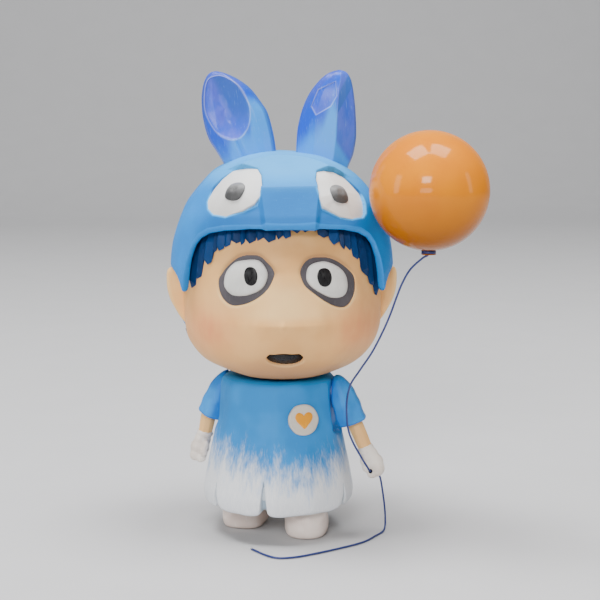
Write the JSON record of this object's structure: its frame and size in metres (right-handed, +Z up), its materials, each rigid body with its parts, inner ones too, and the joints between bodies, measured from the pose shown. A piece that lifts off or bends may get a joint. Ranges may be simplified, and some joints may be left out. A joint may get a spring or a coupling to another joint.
{
  "type": "art toy figure",
  "caption": "Standing toy figure of a child in a long-eared hood and flared tunic, with a turning head, swinging arms and a balloon on a string.",
  "frame": {"origin": "on the floor, below the middle of the figure and its balloon taken together, without the loose string", "axes": "+Z up, the face looks towards -Y, the figure's own left and its balloon are towards +X"},
  "size_m": [0.1543, 0.122, 0.2299],
  "materials": {
    "tunic": "satin painted vinyl, blue fading to white towards the hem",
    "feet": "satin painted vinyl, pinkish white",
    "inner_plastic": "plain moulded plastic",
    "badge": "satin off-white plastic",
    "emblem": "orange paint",
    "skin": "satin painted vinyl, peach",
    "hair": "matte navy paint",
    "dark_paint": "satin black paint",
    "eye_rim": "matte grey paint",
    "eye_white": "satin off-white paint",
    "hood": "satin painted vinyl, light blue",
    "hood_ears": "satin painted vinyl, light blue fading to royal blue",
    "hood_pupil": "matte dark grey paint",
    "sleeves": "satin painted vinyl, light blue",
    "gloves": "satin off-white paint",
    "balloon": "glossy orange lacquer",
    "string": "navy coated wire string",
    "string_tip": "clear drop of glue"
  },
  "bodies": {
    "body": {"tunic_shell": "tunic", "hip_plate": "inner_plastic", "foot_right": "feet", "foot_left": "feet", "neck_post": "inner_plastic", "badge_disc": "badge", "badge_emblem": "emblem", "string_tail": "string", "string_end_knot": "string_tip"},
    "head": {"neck_socket": "inner_plastic", "head_shell": "skin", "hair_fringe": "hair", "hair_nape": "hair", "mouth_insert": "dark_paint", "ear_right": "skin", "ear_left": "skin", "eye_rim_right": "eye_rim", "eye_rim_left": "eye_rim", "eye_white_right": "eye_white", "eye_white_left": "eye_white", "pupil_right": "dark_paint", "pupil_left": "dark_paint", "hood_shell": "hood", "hood_ear_right": "hood_ears", "hood_ear_left": "hood_ears", "hood_eye_right": "eye_white", "hood_eye_left": "eye_white", "hood_pupil_right": "hood_pupil", "hood_pupil_left": "hood_pupil"},
    "arm_right": {"shoulder_peg_right": "inner_plastic", "sleeve_right": "sleeves", "forearm_right": "skin", "hand_right": "gloves"},
    "arm_left": {"shoulder_peg_left": "inner_plastic", "sleeve_left": "sleeves", "forearm_left": "skin", "hand_left": "gloves", "balloon_shell": "balloon", "balloon_nozzle": "balloon", "string_wrap": "string", "balloon_string": "string"}
  },
  "joints": [
    {"name": "head_turn", "type": "hinge", "parent": "body", "child": "head", "pos_m": [-0.01975, 0.0055, 0.082], "axis": [0, 0, 1], "range_deg": [-45, 45]},
    {"name": "arm_right_swing", "type": "hinge", "parent": "body", "child": "arm_right", "pos_m": [-0.0492, 0.01451, 0.072], "axis": [0.9563, -0.2924, 0], "range_deg": [-60, 30]},
    {"name": "arm_left_swing", "type": "hinge", "parent": "body", "child": "arm_left", "pos_m": [0.0097, -0.0035, 0.072], "axis": [0.9563, -0.2924, 0], "range_deg": [0, 20], "deforming": ["string_tail"]}
  ]
}
